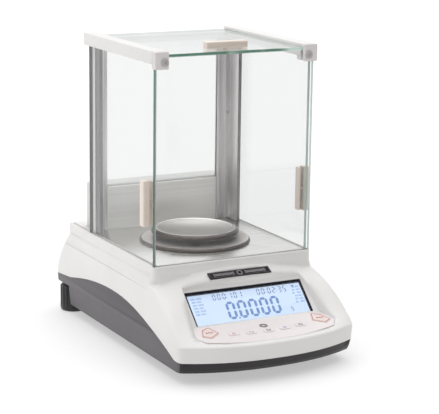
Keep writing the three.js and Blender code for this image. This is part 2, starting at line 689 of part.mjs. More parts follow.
function keyOutlines(grow) {
  const middle = END_KEY.reduce((sum, [x, y]) => [sum[0] + x / 5, sum[1] + y / 5], [0, 0]);
  const grown = END_KEY.map(([x, y]) => {
    const offset = new THREE.Vector2(x - middle[0], y - middle[1]);
    offset.setLength(offset.length() + 1.7 * grow);
    return [middle[0] + offset.x, middle[1] + offset.y];
  });
  const outlines = [['tare_key', polygon([...grown].reverse())]];
  outlines.push(['power_key', polygon(grown.map(([x, y]) => [LEFT_KEY_INSET - x, y]))]);
  const halfX = 6.5 + grow;
  const halfY = 3.6 + grow;
  for (const [name, x, y] of SMALL_KEYS) {
    outlines.push([name, roundedRectangle(x - halfX, x + halfX, y - halfY, y + halfY, 3.2)]);
  }
  return outlines;
}

function keypadOverlay() {
  const local = new THREE.Matrix4().makeRotationX(-KEYPAD_SLOPE);
  local.multiply(new THREE.Matrix4().makeTranslation(0, -PANEL_FOLD.y, -PANEL_FOLD.z));
  const plan = extrudeUp(controlArea(-GAP), 30, 70).applyMatrix4(local);
  const sheet = solidOf(block(-100, 100, -60, -2.2, -OVERLAY, 0)).intersect(solidOf(plan));
  const holes = keyOutlines(GAP).map(([, outline]) => solidOf(extrudeUp(outline, -3, 3)));
  return geometryOf(holes.reduce((rest, hole) => rest.subtract(hole), sheet));
}

place('keypad_overlay', keypadOverlay(), 'membrane', keypadGroup);
const KEY_BOTTOM = KEY_TRAVEL + KEY_REST - OVERLAY_SEAT;
for (const [name, outline] of keyOutlines(0)) {
  place(name, extrudeUp(outline, KEY_BOTTOM, KEY_PROUD), 'keyPlastic', keypadGroup);
}

// ---------------------------------------------------------------- pan, support and drip tray

// The pan's rim is a rolled bead that stands above the disc and turns down outside it.
const panProfile = [
  [0, 122.2], [43.3, 122.2], [44.1, 123.2], [44.9, 123.6], [46.4, 123.5], [48.2, 122.8],
  [49.4, 121.6], [49.9, 120.3], [50, 119.3], [50.9, 119.3], [50.9, 120.5], [50.3, 122.3],
  [48.9, 123.8], [46.8, 124.6], [44.7, 124.7], [43.4, 124.2], [42.6, 123.2], [0, 123.2],
];
place('weighing_pan', turned(panProfile, 0, PAN_Y, 56), 'stainless');

const supportProfile = [
  [0, 96], [3, 96], [4, 100], [4, 116], [26, 118.2], [30, 118.2], [30, 120.4], [24, 121.9], [0, 121.9],
];
place('pan_support', turned(supportProfile, 0, PAN_Y, 32), 'castAluminium');

const trayProfile = [
  [9, 110.9], [60.8, 111.7], [62, 111.2], [62.8, FLOOR_Z + GAP], [64.2, FLOOR_Z + GAP], [64.2, 110.4],
  [63.2, 112.4], [62.2, 113], [61, 112.7], [9, 111.9], [9, 110.9],
];
place('drip_tray', turned(trayProfile, 0, PAN_Y, 56), 'stainless');

// ---------------------------------------------------------------- electronics housing at the back

const COVER = { halfWidth: 85, y0: 153, y1: 181.5, z0: PLATFORM_Z + GAP, z1: 162.5 };
const INLET = { x: -52, z: 134, radius: 5.5 };
const PORT = { x: 18, z: 134, halfWidth: 15.5, halfHeight: 6.2 };
const LEVEL = { x: -72, y: 167 };

function rearCover() {
  const outer = roundedRectangle(-COVER.halfWidth, COVER.halfWidth, COVER.y0, COVER.y1, 5);
  const body = cushionUp(outer, COVER.z0 - 4, COVER.z1, 2);
  const innerX = COVER.halfWidth - WALL;
  const [portX, portZ] = [PORT.halfWidth, PORT.halfHeight];
  return cut(
    body,
    block(-100, 100, 140, 200, 90, COVER.z0), // open underside
    block(-innerX, innerX, COVER.y0 + WALL, COVER.y1 - WALL, 90, COVER.z1 - WALL), // hollow
    rod(INLET.radius + GAP, 170, 190, [INLET.x, INLET.z], 'y'),
    block(PORT.x - portX, PORT.x + portX, 170, 190, PORT.z - portZ, PORT.z + portZ),
    rod(7.4, COVER.z1 - 10, COVER.z1 + 2, [LEVEL.x, LEVEL.y]),
  );
}

place('rear_cover', rearCover(), 'whitePlastic');

const inletBody = union(
  rod(INLET.radius, 172, COVER.y1 + 0.3, [INLET.x, INLET.z], 'y'),
  rod(INLET.radius + 2, COVER.y1 + GAP, COVER.y1 + 1.8, [INLET.x, INLET.z], 'y'),
);
const inletSocket = rod(3.2, 175, 190, [INLET.x, INLET.z], 'y');
place('power_inlet', geometryOf(inletBody.subtract(solidOf(inletSocket))), 'blackPlastic');

function dataPort() {
  const [x, z] = [PORT.x, PORT.z];
  const shell = polygon([[x - 8.6, z - 4], [x + 8.6, z - 4], [x + 9.8, z + 4], [x - 9.8, z + 4]]);
  const flange = roundedRectangle(x - 15, x + 15, z - 5.8, z + 5.8, 1);
  const turn = (geometry, y) => geometry.rotateX(Math.PI / 2).translate(0, y, 0);
  const body = union(
    turn(extrudeUp(flange, 0, 1.4), COVER.y1 + GAP + 0.4),
    turn(extrudeUp(shell, 0, 14), COVER.y1 + 4.5),
  );
  const hollow = polygon([[x - 7.8, z - 3.2], [x + 7.8, z - 3.2], [x + 8.9, z + 3.2], [x - 8.9, z + 3.2]]);
  return geometryOf(body.subtract(solidOf(turn(extrudeUp(hollow, 0, 10), COVER.y1 + 6))));
}

place('data_port', dataPort(), 'steel');
place('main_board', block(-76, 76, 160, 161.6, 113, 155.5), 'circuitBoard');

const levelProfile = [[0, -6], [7, -6], [7, -GAP], [5.6, -GAP], [5.6, -3.6], [0, -3.6]];
place('level_housing', turned(levelProfile, LEVEL.x, LEVEL.y, 32).translate(0, 0, COVER.z1), 'blackPlastic');
const vialProfile = [[0, -3.3], [5.3, -3.3], [5.3, -0.5], [0, 0.2]];
place('level_vial', turned(vialProfile, LEVEL.x, LEVEL.y, 32).translate(0, 0, COVER.z1), 'glass');

// ---------------------------------------------------------------- weigh cell

const CELL = { floor: BOTTOM_Z + WALL + GAP, plateTop: 28 };
const MAGNET_Y = -18;

const cellBase = union(
  block(-42, 42, -52, 168, CELL.floor, CELL.plateTop),
  block(-30, 30, 124, 160, CELL.plateTop - 1, 92),
  block(-8, 8, 22, 28, CELL.plateTop - 1, 72),
);
place('weigh_cell_base', geometryOf(cellBase), 'castAluminium');

const hanger = union(
  block(-12, 12, PAN_Y - 8, PAN_Y + 8, 40, 90),
  rod(5.5, 89, 99, [0, PAN_Y]),
);
const hangerTools = [
  turned([[0, 95.7], [3.3, 95.7], [4.3, 99.7], [4.3, 101], [0, 101]], 0, PAN_Y, 24),
  block(-8, 8, PAN_Y - 10, PAN_Y + 10, 52, 69),
];
const hangerSolid = hangerTools.map(solidOf).reduce((rest, tool) => rest.subtract(tool), hanger);
place('pan_hanger', geometryOf(hangerSolid), 'castAluminium');

for (const [name, z] of [['upper_guide', 84], ['lower_guide', 46]]) {
  const arm = block(-25, 25, PAN_Y + 8 + GAP, 124 - GAP, z, z + 2.4);
  const window = block(-15, 15, PAN_Y + 18, 114, z - 1, z + 4);
  place(name, cut(arm, window), 'aluminium');
}

place('lever_beam', block(-5, 5, MAGNET_Y - 10, PAN_Y - 8 - GAP, 72 + GAP, 79), 'aluminium');

const magnetProfile = [
  [0, CELL.plateTop + GAP], [29, CELL.plateTop + GAP], [29, 62], [21, 62], [21, 42], [16.5, 42],
  [16.5, 60], [0, 60],
];
place('magnet_pot', turned(magnetProfile, 0, MAGNET_Y, 32), 'magnet');
const coilProfile = [
  [0, 68], [17.3, 68], [17.3, 46], [20.2, 46], [20.2, 71.8], [0, 71.8],
];
place('force_coil', turned(coilProfile, 0, MAGNET_Y, 32), 'copper');

// ---------------------------------------------------------------- feet

// The knob: a rubber-footed black cap with shallow grip flutes, bored for its stud.
function footKnob(x) {
  const profile = [
    [0, 0], [13, 0], [15.4, 0.9], [FOOT_RADIUS, 3.2], [FOOT_RADIUS, FOOT_TOP_Z - 2],
    [FOOT_RADIUS - 1.6, FOOT_TOP_Z], [0, FOOT_TOP_Z],
  ];
  const tools = [rod(STUD_RADIUS + GAP, 6, 40, [x, FOOT_Y], 'z', 20)];
  const flutes = 16;
  for (let i = 0; i < flutes; i += 1) {
    const angle = (2 * Math.PI * i) / flutes;
    const reach = FOOT_RADIUS + 0.9;
    const centre = [x + reach * Math.cos(angle), FOOT_Y + reach * Math.sin(angle)];
    tools.push(rod(1.9, 7, FOOT_TOP_Z + 1, centre, 'z', 8));
  }
  return cut(turned(profile, x, FOOT_Y, 32), ...tools);
}

for (const [side, label] of [[-1, 'left'], [1, 'right']]) {
  const x = FOOT_X * side;
  place(`${label}_foot_knob`, footKnob(x), 'blackPlastic');
  place(`${label}_foot_stud`, rod(STUD_RADIUS, 6 + GAP, 58, [x, FOOT_Y], 'z', 20), 'steel');
  const pad = turned([[0, 0], [8, 0], [9, 1], [9, BOTTOM_Z - GAP], [0, BOTTOM_Z - GAP]], 66 * side, -55, 32);
  place(`${label}_front_foot`, pad, 'rubber');
}

// The origin is on the ground, below the middle of the housing.
balance.position.y = -(FRONT_CENTRE_Y + REAR_Y) / 2;
const root = new THREE.Group();
root.add(balance);

export default root;
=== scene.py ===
import json
import math

import bmesh
import bpy
from mathutils import Matrix, Vector


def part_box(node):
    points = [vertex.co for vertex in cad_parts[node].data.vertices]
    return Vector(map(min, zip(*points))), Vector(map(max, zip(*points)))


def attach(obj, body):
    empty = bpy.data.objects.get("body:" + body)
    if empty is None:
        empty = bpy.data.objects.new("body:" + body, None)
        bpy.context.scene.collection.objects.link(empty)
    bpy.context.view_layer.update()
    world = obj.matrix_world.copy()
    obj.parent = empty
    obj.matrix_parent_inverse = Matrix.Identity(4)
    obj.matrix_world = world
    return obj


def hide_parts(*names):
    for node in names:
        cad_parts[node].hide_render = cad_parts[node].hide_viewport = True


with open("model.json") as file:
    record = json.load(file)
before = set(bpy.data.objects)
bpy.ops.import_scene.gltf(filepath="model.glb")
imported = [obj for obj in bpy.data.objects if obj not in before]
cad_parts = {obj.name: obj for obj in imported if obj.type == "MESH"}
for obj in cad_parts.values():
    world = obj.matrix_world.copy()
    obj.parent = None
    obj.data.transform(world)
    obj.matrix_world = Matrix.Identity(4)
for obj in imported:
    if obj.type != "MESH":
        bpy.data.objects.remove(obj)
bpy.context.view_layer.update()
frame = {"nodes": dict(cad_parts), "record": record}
MM = 0.001
SLOT_OF = {entry["node"]: entry["material_slot"] for entry in frame["record"]["subparts"]}
BODIES = frame["record"]["behaviour"]["bodies"]
BODY_OF = {node: body for body, nodes in BODIES.items() for node in nodes}


# ---------------------------------------------------------------- material helpers

class Shader:
    """A node tree being written, with short calls for the nodes used here."""

    def __init__(self, name):
        self.material = bpy.data.materials.new(name)
        self.material.use_nodes = True
        self.tree = self.material.node_tree
        self.tree.nodes.clear()
        self.output = self.tree.nodes.new("ShaderNodeOutputMaterial")
        self.coords = self.node("TexCoord").outputs["Object"]

    def node(self, kind, **settings):
        made = self.tree.nodes.new("ShaderNode" + kind)
        for key, value in settings.items():
            setattr(made, key, value)
        return made

    def feed(self, socket, value):
        if hasattr(value, "is_output"):
            self.tree.links.new(value, socket)
        else:
            socket.default_value = value

    def surface(self, shader):
        self.tree.links.new(shader, self.output.inputs["Surface"])
        return self.material

    def principled(self, **values):
        made = self.node("BsdfPrincipled")
        for key, value in values.items():
            self.feed(made.inputs[key.replace("_", " ")], value)
        return made.outputs[0]

    def stretched(self, x, y, z):
        """Object coordinates multiplied per axis, for grain that runs along a direction."""
        made = self.node("Mapping")
        self.feed(made.inputs["Vector"], self.coords)
        made.inputs["Scale"].default_value = (x, y, z)
        return made.outputs[0]

    def noise(self, scale, detail=2.0, roughness=0.5, vector=None):
        made = self.node("TexNoise")
        self.feed(made.inputs["Vector"], vector or self.coords)
        made.inputs["Scale"].default_value = scale
        made.inputs["Detail"].default_value = detail
        made.inputs["Roughness"].default_value = roughness
        return made.outputs["Fac"]

    def remap(self, value, low, high, from_low=0.0, from_high=1.0):
        made = self.node("MapRange")
        self.feed(made.inputs["Value"], value)
        limits = {"From Min": from_low, "From Max": from_high, "To Min": low, "To Max": high}
        for key, number in limits.items():
            made.inputs[key].default_value = number
        return made.outputs[0]

    def ramp(self, value, *stops):
        """stops are (position, (r, g, b)) pairs."""
        made = self.node("ValToRGB")
        self.feed(made.inputs[0], value)
        elements = made.color_ramp.elements
        while len(elements) < len(stops):
            elements.new(0.5)
        for element, (position, colour) in zip(elements, stops):
            element.position = position
            element.color = (*colour, 1.0)
        return made.outputs[0]

    def tinted(self, colour, amount):
        """A colour made lighter or darker by a factor."""
        made = self.node("VectorMath", operation="SCALE")
        self.feed(made.inputs[0], colour)
        self.feed(made.inputs["Scale"], amount)
        return made.outputs[0]

    def axis(self, name):
        made = self.node("SeparateXYZ")
        self.feed(made.inputs[0], self.coords)
        return made.outputs[name]

    def bump(self, height, strength, distance):
        made = self.node("Bump")
        self.feed(made.inputs["Height"], height)
        made.inputs["Strength"].default_value = strength
        made.inputs["Distance"].default_value = distance
        return made.outputs[0]


MOTTLING = 0.025  # how much a moulded colour varies


def moulded(name, colour, roughness, grain=0.12, grain_size=0.8, ior=1.5):
    """Moulded plastic: eroded grain in the gloss and the normal, faint mottling of the colour."""
    s = Shader(name)
    broad = s.noise(14.0, detail=4.0)
    fine = s.noise(1000.0 / grain_size, detail=2.0, roughness=0.65)
    return s.surface(s.principled(
        Base_Color=s.tinted(colour, s.remap(broad, 1 - MOTTLING, 1 + MOTTLING, 0.3, 0.7)),
        Roughness=s.remap(fine, roughness - 0.05, roughness + 0.07, 0.3, 0.7),
        IOR=ior,
        Normal=s.bump(fine, grain, 0.00012),
    ))


def brushed(name, colour, roughness, stretch, streak=0.10, metallic=1.0):
    """Metal whose fine lines run along the axis that stretch leaves coarse."""
    s = Shader(name)
    lines = s.noise(1.0, detail=3.0, roughness=0.6, vector=s.stretched(*stretch))
    broad = s.noise(9.0, detail=2.0)
    return s.surface(s.principled(
        Base_Color=s.tinted(colour, s.remap(lines, 1 - streak, 1 + streak, 0.3, 0.7)),
        Metallic=metallic,
        Roughness=s.remap(broad, roughness - 0.04, roughness + 0.06, 0.3, 0.7),
        Normal=s.bump(lines, 0.15, 0.00005),
    ))


def turned_steel(name, colour, roughness, metallic=1.0):
    """Steel turned on a lathe: fine rings round the pan's upright axis."""
    low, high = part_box("weighing_pan")
    centre = (low + high) / 2
    s = Shader(name)
    shifted = s.node("VectorMath", operation="SUBTRACT")
    s.feed(shifted.inputs[0], s.coords)
    shifted.inputs[1].default_value = centre[:]
    flat = s.node("VectorMath", operation="MULTIPLY")
    s.feed(flat.inputs[0], shifted.outputs[0])
    flat.inputs[1].default_value = (1, 1, 0)
    radius = s.node("VectorMath", operation="LENGTH")
    s.feed(radius.inputs[0], flat.outputs[0])
    rings = s.node("TexNoise", noise_dimensions="1D")
    s.feed(rings.inputs["W"], radius.outputs["Value"])
    rings.inputs["Scale"].default_value = 1800.0
    rings.inputs["Detail"].default_value = 3.0
    broad = s.noise(22.0)
    return s.surface(s.principled(
        Base_Color=s.tinted(colour, s.remap(rings.outputs["Fac"], 0.92, 1.06, 0.3, 0.7)),
        Metallic=metallic,
        Roughness=s.remap(broad, roughness - 0.04, roughness + 0.05, 0.3, 0.7),
        Normal=s.bump(rings.outputs["Fac"], 0.10, 0.00004),
    ))


def sheet_glass(name, tint, grazing=0.55):
    """Flat glass: what is behind shows straight through, and it mirrors more at a grazing angle."""
    s = Shader(name)
    through = s.node("BsdfTransparent")
    through.inputs["Color"].default_value = (*tint, 1.0)
    mirror = s.node("BsdfGlossy")
    mirror.inputs["Roughness"].default_value = 0.02
    mirror.inputs["Color"].default_value = (0.97, 0.985, 0.98, 1.0)
    weight = s.node("LayerWeight")
    weight.inputs["Blend"].default_value = 0.5
    power = s.node("Math", operation="POWER")
    s.feed(power.inputs[0], weight.outputs["Facing"])
    power.inputs[1].default_value = 4.0
    share = s.node("Math", operation="MULTIPLY_ADD")
    s.feed(share.inputs[0], power.outputs[0])
    share.inputs[1].default_value = grazing
    share.inputs[2].default_value = 0.025
    mix = s.node("MixShader")
    s.feed(mix.inputs[0], share.outputs[0])
    s.feed(mix.inputs[1], through.outputs[0])
    s.feed(mix.inputs[2], mirror.outputs[0])
    return s.surface(mix.outputs[0])


def glass_edge(name, dark, pale, stretch, low=0.35, high=0.65):
    """Ground and seamed edge of a pane: a dark tone with paler streaks along it. Each copy carries
    the painted shade or painted sheen given to edges that face one way.
    """
    s = Shader(name)
    streaks = s.noise(1.0, detail=2.0, vector=s.stretched(*stretch))
    return s.surface(s.principled(
        Base_Color=s.ramp(streaks, (low, dark), (high, pale)),
        Roughness=0.18,
        IOR=1.5,
    ))


# ---------------------------------------------------------------- materials

WHITE = moulded("white_plastic", (0.79, 0.78, 0.765), roughness=0.38)
LOWER_GREY = moulded("grey_plastic", (0.094, 0.086, 0.094), roughness=0.42, grain=0.10)
# Same grey plastic, much darker: painted shade for the lower housing's front faces.
LOWER_FRONT_PAINTED_SHADE = moulded(
    "grey_plastic_front_painted_shade", (0.030, 0.028, 0.030), roughness=0.42, grain=0.10, ior=1.35,
)
BADGE_BLACK = moulded("badge_black", (0.010, 0.010, 0.011), roughness=0.5, ior=1.25)
BLACK = moulded("black_plastic", (0.018, 0.017, 0.019), roughness=0.32)
CAP = moulded("cap_plastic", (0.74, 0.70, 0.695), roughness=0.4)
SCREW_COVER = moulded("screw_cover", (0.46, 0.43, 0.44), roughness=0.4)
HANDLE = moulded("handle_plastic", (0.82, 0.72, 0.635), roughness=0.35)
GLASS = sheet_glass("clear_glass", (0.955, 0.957, 0.957))
ROOF_GLASS = sheet_glass("roof_glass", (0.988, 0.990, 0.990), grazing=0.95)
WINDOW = sheet_glass("window_glass", (0.99, 0.995, 1.0))
VIAL = sheet_glass("vial_liquid", (0.72, 0.93, 0.45))
# Edge tones of the panes: the glass's green with painted shade (dark, grey, rear) and painted sheen
# (mint, top streaks), one copy for each way an edge faces.
EDGE_GREEN_PAINTED_SHADE = glass_edge("glass_edge_green_painted_shade", (0.022, 0.06, 0.045), (0.07, 0.17, 0.125), (60, 60, 9))
EDGE_GREEN_PAINTED_HALF_SHADE = glass_edge("glass_edge_green_painted_half_shade", (0.40, 0.50, 0.46), (0.60, 0.69, 0.655), (60, 60, 12))
EDGE_GREEN_PAINTED_SHEEN = glass_edge("glass_edge_green_painted_sheen", (0.74, 0.84, 0.80), (0.86, 0.93, 0.90), (40, 40, 12))
EDGE_REAR_PAINTED_SHADE = glass_edge("glass_edge_rear_painted_shade", (0.12, 0.125, 0.12), (0.17, 0.175, 0.17), (60, 60, 9))
EDGE_TOP_PAINTED_SHEEN_STREAKS = glass_edge(
    "glass_edge_top_painted_sheen_streaks", (0.09, 0.22, 0.16), (0.62, 0.78, 0.71), (17, 60, 60), low=0.42, high=0.54,
)
UPRIGHT = (900, 900, 5)  # grain that runs up the posts
CROSSWISE = (6, 500, 500)  # grain that runs across the chamber
ALUMINIUM = brushed("aluminium_extrusion", (0.70, 0.68, 0.68), 0.34, UPRIGHT, streak=0.14)
# Darker and paler copies of the extrusion: painted shade on the posts' outer faces, painted light
# on the inner face of the side leg.
ALUMINIUM_PAINTED_SHADE = brushed("aluminium_outer_face_painted_shade", (0.235, 0.222, 0.228), 0.36, UPRIGHT, streak=0.16)
ALUMINIUM_PAINTED_LIGHT = brushed("aluminium_inner_face_painted_light", (0.78, 0.76, 0.765), 0.34, UPRIGHT, streak=0.14)
PLATE = brushed("grey_metal", (0.88, 0.87, 0.85), 0.26, CROSSWISE, streak=0.05)
WALL = brushed("wall_metal", (0.98, 0.965, 0.935), 0.46, CROSSWISE, streak=0.06, metallic=0.25)
PAN_STEEL = turned_steel("stainless_steel", (0.54, 0.525, 0.51), 0.32, metallic=0.8)
# Lighter and darker copies of the steel: painted highlight along the tops of the pan's and tray's
# rims, painted shade where they turn down and below.
STEEL_PAINTED_HIGHLIGHT = turned_steel("stainless_steel_painted_highlight", (0.90, 0.88, 0.86), 0.18, metallic=0.75)
STEEL_PAINTED_SHADE = turned_steel("stainless_steel_painted_shade", (0.11, 0.09, 0.085), 0.24)
TRAY_STEEL = turned_steel("stainless_steel_satin", (0.70, 0.66, 0.63), 0.32, metallic=0.5)
ZINC = brushed("plain_steel", (0.48, 0.48, 0.49), 0.32, (300, 300, 300))
CAST = moulded("cast_aluminium", (0.40, 0.41, 0.42), roughness=0.55, grain=0.4, grain_size=1.6)
RUBBER = moulded("foot_rubber", (0.02, 0.02, 0.02), roughness=0.75, grain=0.3)
# Dark gasket colour, also used for the painted shadow round the display window.
GASKET_AND_PAINTED_SHADOW = moulded("display_gasket", (0.012, 0.014, 0.022), roughness=0.8, ior=1.2)
MEMBRANE = moulded("key_membrane", (0.79, 0.735, 0.735), roughness=0.45, grain=0.2, grain_size=0.5)
KEY = moulded("key_plastic", (0.78, 0.69, 0.66), roughness=0.45, grain=0.2, grain_size=0.5)
COVER_WHITE = moulded("cover_plastic", (0.69, 0.685, 0.67), roughness=0.4)
SEAL = moulded("seal_strip", (0.90, 0.90, 0.88), roughness=0.6)
# Near black for the painted shade in the posts' rear rebates.
POST_REBATE_SHADE = moulded("post_rebate_painted_shade", (0.11, 0.11, 0.11), roughness=0.55)
BOARD = moulded("circuit_board", (0.02, 0.11, 0.06), roughness=0.4)
COPPER = brushed("copper_winding", (0.60, 0.26, 0.12), 0.35, (60, 60, 3000))
MAGNET = moulded("magnet_steel", (0.10, 0.10, 0.11), roughness=0.4)
RED_INK = moulded("red_ink", (0.55, 0.10, 0.07), roughness=0.5)
BLUE_INK = moulded("blue_ink", (0.20, 0.25, 0.42), roughness=0.5)
DARK_INK = moulded("dark_ink", (0.06, 0.055, 0.055), roughness=0.5)


def liquid_crystal():
    """Backlit panel: cool blue, with painted shade dimming it a little along its top, faintly
    uneven.
    """
    s = Shader("display_face")
    broad = s.noise(30.0, detail=1.0)
    fine = s.noise(900.0, detail=1.0)
    height = s.axis("Z")
    low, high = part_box("lcd_module")
    painted_top_shade = s.remap(height, 1.0, 0.86, low.z + 0.75 * (high.z - low.z), high.z)
    colour = s.tinted(s.tinted((0.58, 0.715, 0.93), s.remap(broad, 0.96, 1.04)), painted_top_shade)
    return s.surface(s.principled(
        Base_Color=(0.02, 0.03, 0.05, 1.0),
        Roughness=s.remap(fine, 0.3, 0.4),
        Emission_Color=colour,
        Emission_Strength=0.98,
    ))


def segment_ink(name, colour):
    s = Shader(name)
    fine = s.noise(600.0, detail=1.0)
    return s.surface(s.principled(
        Base_Color=(0.01, 0.02, 0.04, 1.0),
        Roughness=0.4,
        Emission_Color=s.tinted(colour, s.remap(fine, 0.92, 1.08)),
        Emission_Strength=1.0,
    ))


LCD = liquid_crystal()
SEGMENT = segment_ink("lcd_segment", (0.075, 0.185, 0.46))
SEGMENT_FAINT = segment_ink("lcd_segment_small", (0.085, 0.16, 0.34))
LEGEND = segment_ink("lcd_legend", (0.17, 0.30, 0.58))

FINISH = {
    "white_plastic": WHITE, "grey_plastic": LOWER_GREY, "black_plastic": BLACK, "cap_plastic": CAP,
    "handle_plastic": HANDLE, "clear_glass": GLASS, "aluminium_extrusion": ALUMINIUM,
    "grey_metal": PLATE, "stainless_steel": PAN_STEEL, "plain_steel": ZINC, "foot_rubber": RUBBER,
    "display_face": LCD, "key_membrane": MEMBRANE, "key_plastic": KEY, "seal_strip": SEAL,
    "circuit_board": BOARD, "copper_winding": COPPER, "magnet_steel": MAGNET,
    "cast_aluminium": CAST,
}


# ---------------------------------------------------------------- piece helpers

SHARP_DEGREES = 35.0  # edges sharper than this stay crisp in the shading
FLAT_DEGREES = 0.4  # triangles nearer to one plane than this are joined
SEAM = 0.35  # mm, bevel ground round a pane


def make_piece(name, bm, materials, body):
    mesh = bpy.data.meshes.new(name)
    bm.to_mesh(mesh)
    bm.free()
    for material in materials:
        mesh.materials.append(material)
    obj = bpy.data.objects.new(name, mesh)
    bpy.context.scene.collection.objects.link(obj)
    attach(obj, body)
    return obj


def shade(obj):
    """Smooth shading, broken at the sharper edges."""
    mesh = obj.data
    mesh.polygons.foreach_set("use_smooth", [True] * len(mesh.polygons))
    mesh.set_sharp_from_angle(angle=math.radians(SHARP_DEGREES))


def clean_copy(node):
    """The node's mesh with its triangles joined back into whole faces."""
    bm = bmesh.new()
    bm.from_mesh(frame["nodes"][node].data)
    bmesh.ops.remove_doubles(bm, verts=bm.verts, dist=1e-6)
    bmesh.ops.dissolve_limit(
        bm, angle_limit=math.radians(FLAT_DEGREES), use_dissolve_boundaries=False,
        verts=bm.verts, edges=bm.edges,
    )
    return bm


def round_edges(bm, width, segments=2, angle=30.0):
    limit = math.radians(angle)
    sharp = [e for e in bm.edges if len(e.link_faces) == 2 and e.calc_face_angle(0) > limit]
    bmesh.ops.bevel(
        bm, geom=sharp, offset=width, offset_type="OFFSET", segments=segments, profile=0.6,
        affect="EDGES", clamp_overlap=True,
    )


def refine(node, material=None, edge=0.3, angle=30.0, extra=(), choose=None):
    """Stands for a CAD node: the same shape with eased edges and smooth curved faces.

    extra holds more materials, here painted light and painted shade copies of the first;
    choose(face) is 0 for the first material, 1 for the first of extra."""
    bm = clean_copy(node)
    if edge:
        round_edges(bm, edge * MM, angle=angle)
    bmesh.ops.triangulate(bm, faces=[f for f in bm.faces if len(f.verts) > 4])
    finishes = [material or FINISH[SLOT_OF[node]], *extra]
    if choose:
        for face in bm.faces:
            face.material_index = choose(face)
    obj = make_piece(node + "_look", bm, finishes, BODY_OF[node])
    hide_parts(node)
    shade(obj)


def pane(node, edge_of, clear=None):
    """A sheet of glass: clear faces, and seamed edges whose painted shade or painted sheen
    edge_of(normal) picks from the way each edge faces.
    """
    bm = clean_copy(node)
    round_edges(bm, SEAM * MM, segments=1, angle=60.0)
    materials = [clear or GLASS]
    low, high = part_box(node)
    thin = min(range(3), key=lambda i: high[i] - low[i])
    for face in bm.faces:
        centre = face.calc_center_median()
        depth = min(min(centre[i] - low[i], high[i] - centre[i]) for i in range(3) if i != thin)
        if abs(face.normal[thin]) > 0.9 or face.normal.z < -0.5 or depth > 1 * MM:
            continue
        material = edge_of(face.normal)
        if material not in materials:
            materials.append(material)
        face.material_index = materials.index(material)
    bmesh.ops.triangulate(bm, faces=[f for f in bm.faces if len(f.verts) > 4])
    obj = make_piece(node + "_look", bm, materials, BODY_OF[node])
    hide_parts(node)


# ---------------------------------------------------------------- CAD nodes, refined

POST_OUTER_X = 90 * MM  # faces centred further out than this are on a post's outer side
POST_INNER_X = 87.5 * MM  # inner face of the leg along the side lies just past this
PAN_HIGHLIGHT_INNER, PAN_HIGHLIGHT_OUTER = 43.2 * MM, 46.9 * MM  # painted highlight band along the pan's rim
TRAY_HIGHLIGHT_INNER, TRAY_HIGHLIGHT_OUTER = 60.9 * MM, 62.4 * MM  # painted highlight band along the tray's rim

EDGE_WIDTH = {  # mm
    "upper_housing": 0.0,
    "left_roof_rail": 0.35, "right_roof_rail": 0.35, "rear_roof_bar": 0.3,
    "left_corner_cap": 0.25, "right_corner_cap": 0.25,
    "left_post_seal": 0.25, "right_post_seal": 0.25,
    "left_door_track": 0.0, "right_door_track": 0.0, "chamber_floor": 0.2,
    "left_door_handle": 0.0, "right_door_handle": 0.0, "top_door_handle": 0.0,
    "keypad_overlay": 0.12, "power_inlet": 0.15, "data_port": 0.15,
    "left_foot_knob": 0.0, "right_foot_knob": 0.0, "left_foot_stud": 0.2, "right_foot_stud": 0.2,
    "left_front_foot": 0.3, "right_front_foot": 0.3, "level_housing": 0.15,
    "pan_support": 0.0,
}
for node, edge in EDGE_WIDTH.items():
    refine(node, edge=edge)
refine("rear_cover", COVER_WHITE, edge=0.0)
refine("rear_wall_plate", WALL, edge=0.3)
# Faces turned to the front take the painted shade copy of the grey plastic.
refine(
    "lower_housing", edge=0.0, extra=[LOWER_FRONT_PAINTED_SHADE],
    choose=lambda f: 1 if f.normal.y < -0.45 else 0,
)


def post_painted_light(face):
    """Painted shade on the outer face, painted light on the inner face of the leg along the side.
    """
    x = abs(face.calc_center_median().x)
    if x > POST_OUTER_X:
        return 1
    return 2 if x > POST_INNER_X and abs(face.normal.x) > 0.7 else 0


for node in ("left_rear_post", "right_rear_post"):
    refine(node, edge=0.25, extra=[ALUMINIUM_PAINTED_SHADE, ALUMINIUM_PAINTED_LIGHT], choose=post_painted_light)

PAN_AXIS = (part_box("weighing_pan")[0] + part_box("weighing_pan")[1]).to_2d() / 2


def distance_from_axis(face):
    return (face.calc_center_median().to_2d() - PAN_AXIS).length


def pan_painted_light(face):
    """Painted highlight along the top of the bead, painted shade where it turns down and below."""
    radius = distance_from_axis(face)
    if radius > PAN_HIGHLIGHT_OUTER or face.normal.z < -0.5:
        return 2
    return 1 if radius > PAN_HIGHLIGHT_INNER else 0


def tray_painted_light(face):
    """Painted highlight along the top of the rim, painted shade outside it."""
    radius = distance_from_axis(face)
    return 2 if radius > TRAY_HIGHLIGHT_OUTER else 1 if radius > TRAY_HIGHLIGHT_INNER else 0


refine("weighing_pan", edge=0.0, extra=[STEEL_PAINTED_HIGHLIGHT, STEEL_PAINTED_SHADE], choose=pan_painted_light)
refine("drip_tray", TRAY_STEEL, edge=0.0, extra=[STEEL_PAINTED_HIGHLIGHT, STEEL_PAINTED_SHADE], choose=tray_painted_light)
refine("left_cap_screw", SCREW_COVER, edge=0.12)
refine("right_cap_screw", SCREW_COVER, edge=0.12)
refine("name_badge", BADGE_BLACK, edge=0.2)
SMALL_KEYS = ("calibrate_key", "count_key", "unit_key", "mode_key", "print_key")
END_KEYS = ("power_key", "tare_key")
for node in SMALL_KEYS + END_KEYS:
    refine(node, KEY if node in END_KEYS else MEMBRANE, edge=0.15, angle=50.0)

